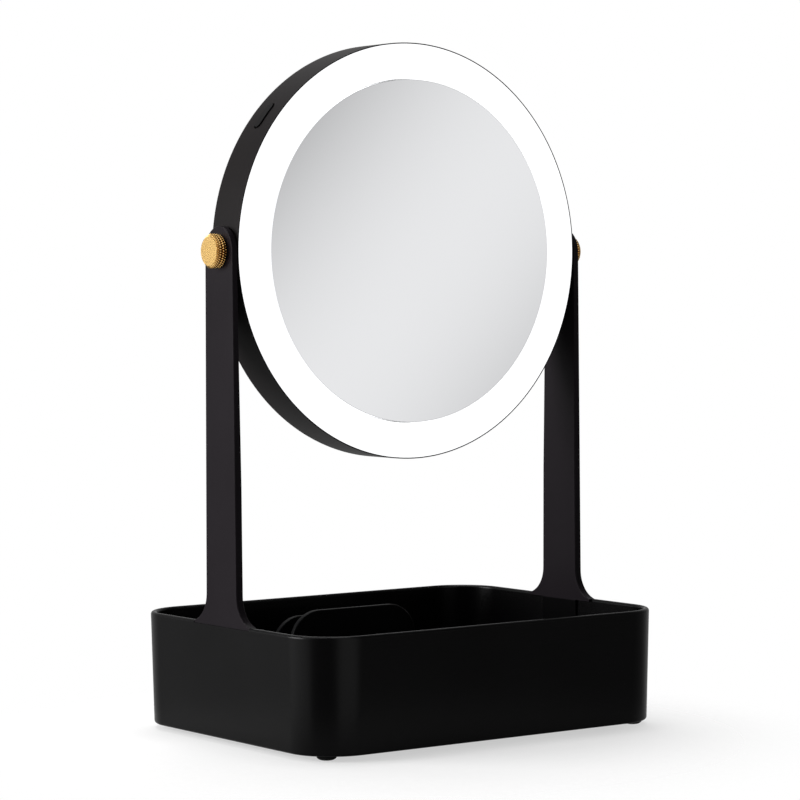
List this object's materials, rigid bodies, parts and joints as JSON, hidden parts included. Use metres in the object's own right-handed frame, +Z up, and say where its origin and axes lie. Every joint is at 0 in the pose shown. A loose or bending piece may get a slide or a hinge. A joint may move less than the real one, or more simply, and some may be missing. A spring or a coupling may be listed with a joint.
{
  "type": "lit vanity mirror with storage tray",
  "caption": "Round double-sided tilting mirror with a lit ring, held by two flat posts with knurled knobs over an open rectangular storage tray with a phone cradle.",
  "frame": {"origin": "on the table, under the middle of the tray", "axes": "+Z up; -Y is the front, which the lit mirror faces; +X is to the right seen from the front"},
  "size_m": [0.2172, 0.1604, 0.3299],
  "materials": {
    "tray_black": "fine matte, slightly satin",
    "cover_black": "fine moulded texture",
    "screw_steel": "zinc plated",
    "screw_black": "blackened",
    "ballast_steel": "raw plate",
    "foot_rubber": "matte",
    "post_black": "matte powder coat",
    "cradle_black": "smooth matte",
    "casing_black": "smooth matte",
    "lit_opal": "opal, lit from behind",
    "guide_clear": "clear acrylic",
    "reflector_white": "white film",
    "strip_white": "flexible circuit",
    "led_yellow": "phosphor",
    "mirror_silver": "silvered glass",
    "tape_grey": "foam tape",
    "carrier_white": "white moulding",
    "battery_foil": "pouch foil",
    "lead_red": "wire insulation",
    "board_green": "solder mask",
    "port_steel": "nickel plated shell",
    "switch_grey": "switch housing",
    "insert_brass": "turned",
    "washer_nylon": "natural nylon",
    "knob_gold": "satin, knurled edge",
    "stud_steel": "turned",
    "button_black": "smooth matte"
  },
  "bodies": {
    "base": {"tray": "tray_black", "bottom_cover": "cover_black", "cover_screws": "screw_steel", "ballast_plate": "ballast_steel", "rubber_feet": "foot_rubber", "left_post": "post_black", "right_post": "post_black", "post_screws": "screw_black", "phone_cradle": "cradle_black", "cradle_screws": "screw_black", "spring_washers": "screw_steel"},
    "head": {"head_casing": "casing_black", "front_diffuser": "lit_opal", "light_guide": "guide_clear", "reflector_sheet": "reflector_white", "led_strip": "strip_white", "led_chips": "led_yellow", "front_mirror": "mirror_silver", "front_mirror_tape": "tape_grey", "light_carrier": "carrier_white", "battery_pack": "battery_foil", "battery_leads": "lead_red", "control_board": "board_green", "board_screws": "screw_steel", "charge_port": "port_steel", "button_switch": "switch_grey", "back_cover": "casing_black", "back_cover_screws": "screw_steel", "rear_mirror": "mirror_silver", "rear_mirror_tape": "tape_grey", "left_pivot_insert": "insert_brass", "right_pivot_insert": "insert_brass", "pivot_washers": "washer_nylon"},
    "knob_left": {"left_knob": "knob_gold", "left_pivot_stud": "stud_steel"},
    "knob_right": {"right_knob": "knob_gold", "right_pivot_stud": "stud_steel"},
    "button": {"power_button": "button_black"}
  },
  "joints": [
    {"name": "head_tilt", "type": "hinge", "parent": "base", "child": "head", "pos_m": [0, 0, 0.23], "axis": [1, 0, 0], "continuous": true},
    {"name": "left_knob_turn", "type": "hinge", "parent": "head", "child": "knob_left", "pos_m": [-0.104, 0, 0.23], "axis": [-1, 0, 0], "range_deg": [0, 180]},
    {"name": "right_knob_turn", "type": "hinge", "parent": "head", "child": "knob_right", "pos_m": [0.104, 0, 0.23], "axis": [1, 0, 0], "range_deg": [0, 180]},
    {"name": "button_press", "type": "slide", "parent": "head", "child": "button", "axis": [0.7716, 0, -0.6361], "range_m": [0, 0.0006], "stiffness_N_per_m": 1200, "springref_m": -0.0003}
  ]
}
